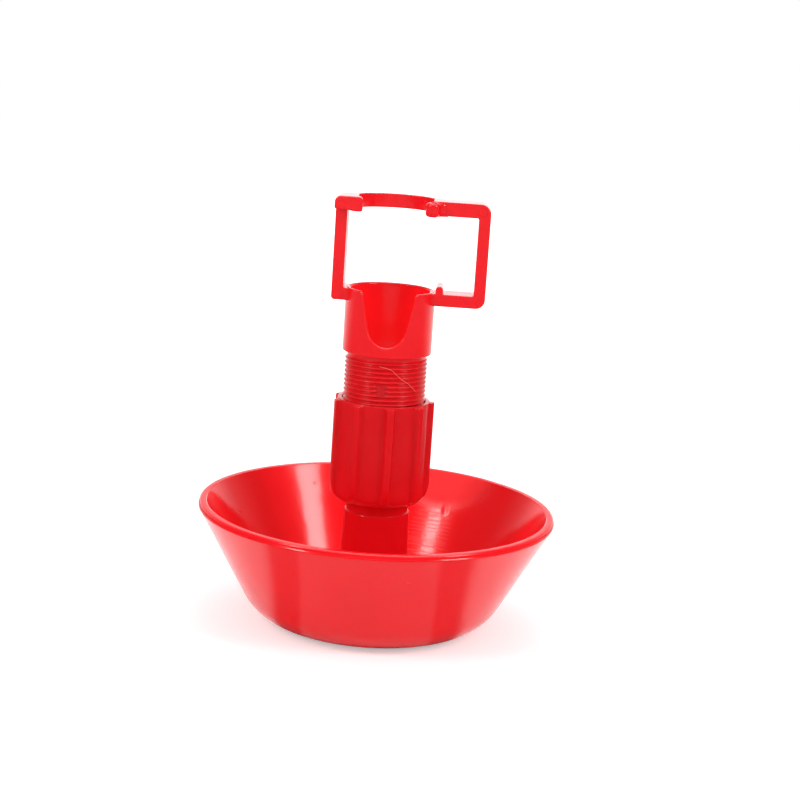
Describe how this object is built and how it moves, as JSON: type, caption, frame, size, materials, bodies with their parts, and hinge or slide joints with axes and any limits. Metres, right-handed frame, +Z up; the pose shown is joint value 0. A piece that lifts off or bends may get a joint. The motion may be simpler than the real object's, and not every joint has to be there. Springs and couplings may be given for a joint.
{
  "type": "poultry drinking cup",
  "caption": "Hanging drip and drinking cup for poultry: flared bowl on a hollow post, ribbed adjusting sleeve, and a threaded hanger with notched collar, open frame and snap ring.",
  "frame": {"origin": "centre of the bowl's flat underside, on the axis of the post, sleeve and tube", "axes": "+Z up along the post and tube; -Y is the front, where the collar has its notch and the snap ring its mouth; +X is the side that the frame reaches furthest to"},
  "size_m": [0.075, 0.075, 0.09],
  "materials": {
    "bowl": "glossy moulded red plastic",
    "sleeve": "glossy moulded red plastic",
    "hanger": "glossy moulded red plastic"
  },
  "bodies": {
    "bowl": {"bowl": "bowl"},
    "sleeve": {"adjusting_sleeve": "sleeve"},
    "hanger": {"hanger": "hanger"}
  },
  "joints": [
    {"name": "sleeve_turn", "type": "hinge", "parent": "bowl", "child": "sleeve", "pos_m": [0, 0, 0.037], "axis": [0, 0, 1], "range_deg": [-2268, 3636]},
    {"name": "hanger_lift", "type": "slide", "parent": "bowl", "child": "hanger", "axis": [0, 0, 1], "range_m": [-0.00965, 0.00605]}
  ],
  "couplings": [
    {"joint": "hanger_lift", "follows": "sleeve_turn", "m_per_rad": -0.0001512}
  ]
}
